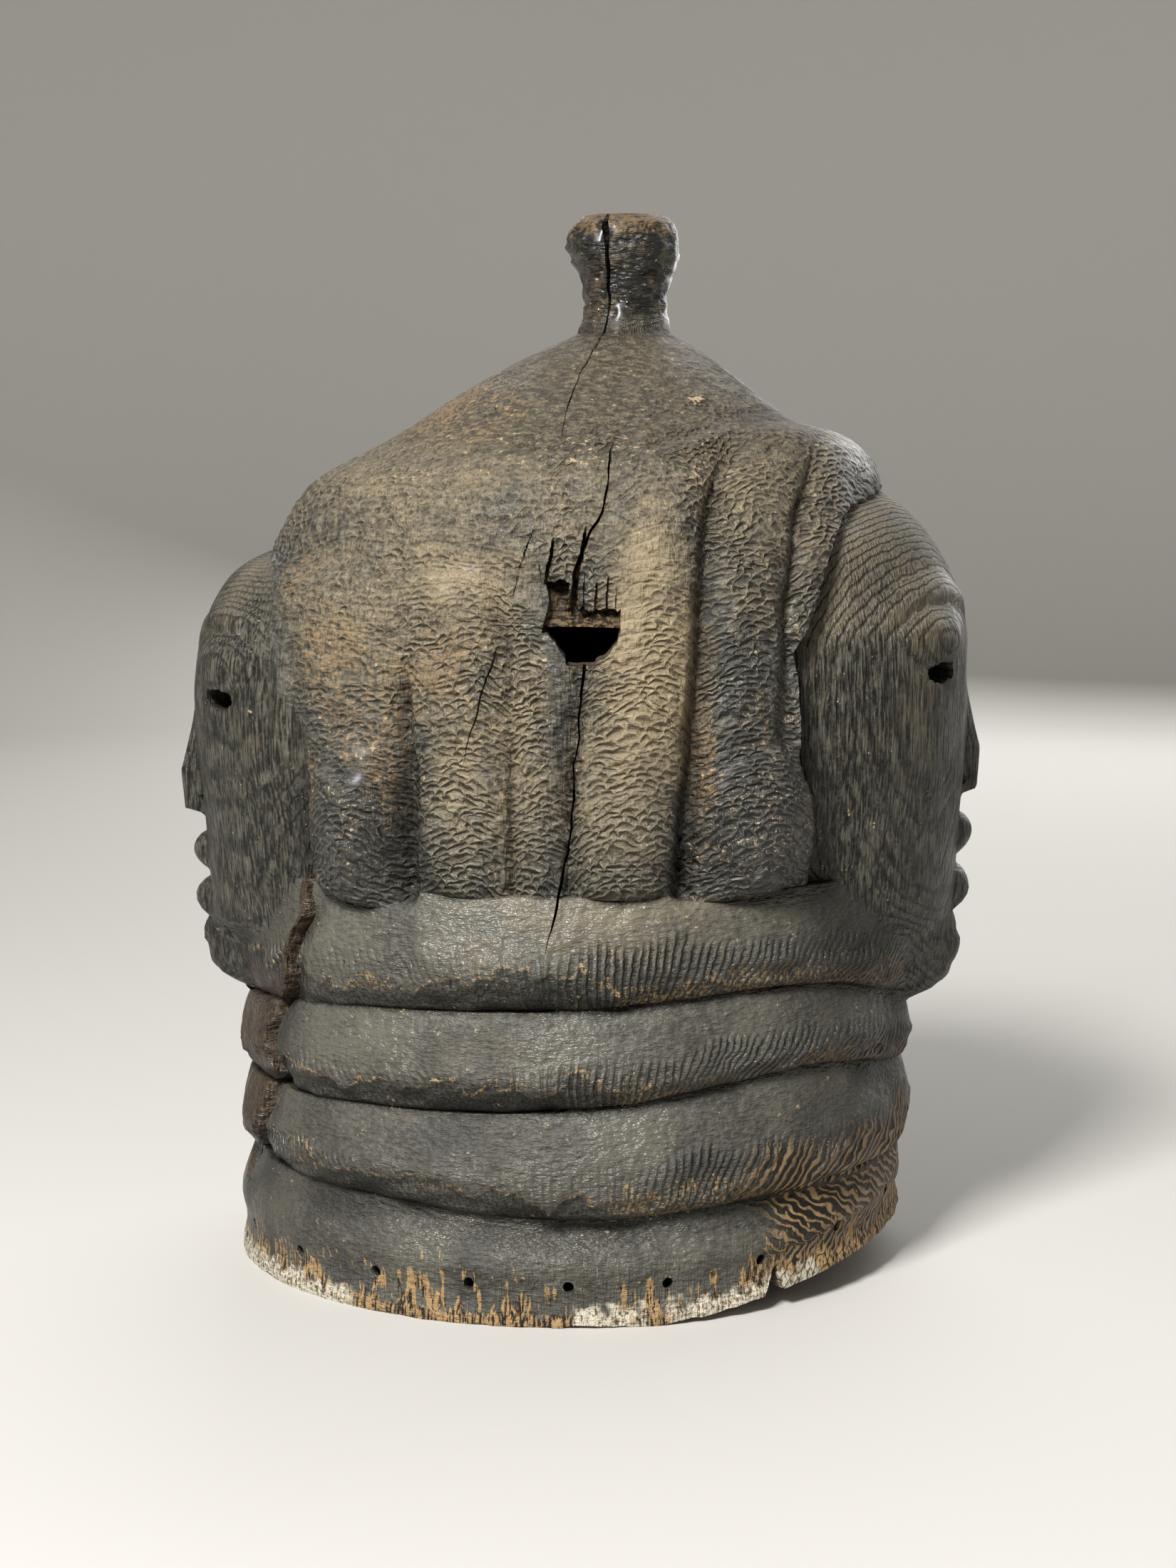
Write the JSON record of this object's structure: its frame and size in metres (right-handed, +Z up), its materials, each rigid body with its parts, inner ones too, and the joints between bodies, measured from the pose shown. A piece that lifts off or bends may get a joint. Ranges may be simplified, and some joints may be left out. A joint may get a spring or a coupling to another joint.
{
  "type": "double-face helmet mask",
  "caption": "Carved wooden helmet mask with a face at either end, lobed hair, a knobbed crown and rolls round the neck, hollow and open below so that it sits over a wearer's head.",
  "frame": {"origin": "under the middle of the mask, on the surface its rim stands on", "axes": "+Z up through the crown, +X towards the east face, -Y towards the side with the hole"},
  "size_m": [0.307, 0.231, 0.394],
  "materials": {
    "carved_wood": "blackened, weathered and satin, worn to tan on the ridges and round the rim"
  },
  "bodies": {
    "root": {"mask": "carved_wood"}
  },
  "joints": []
}
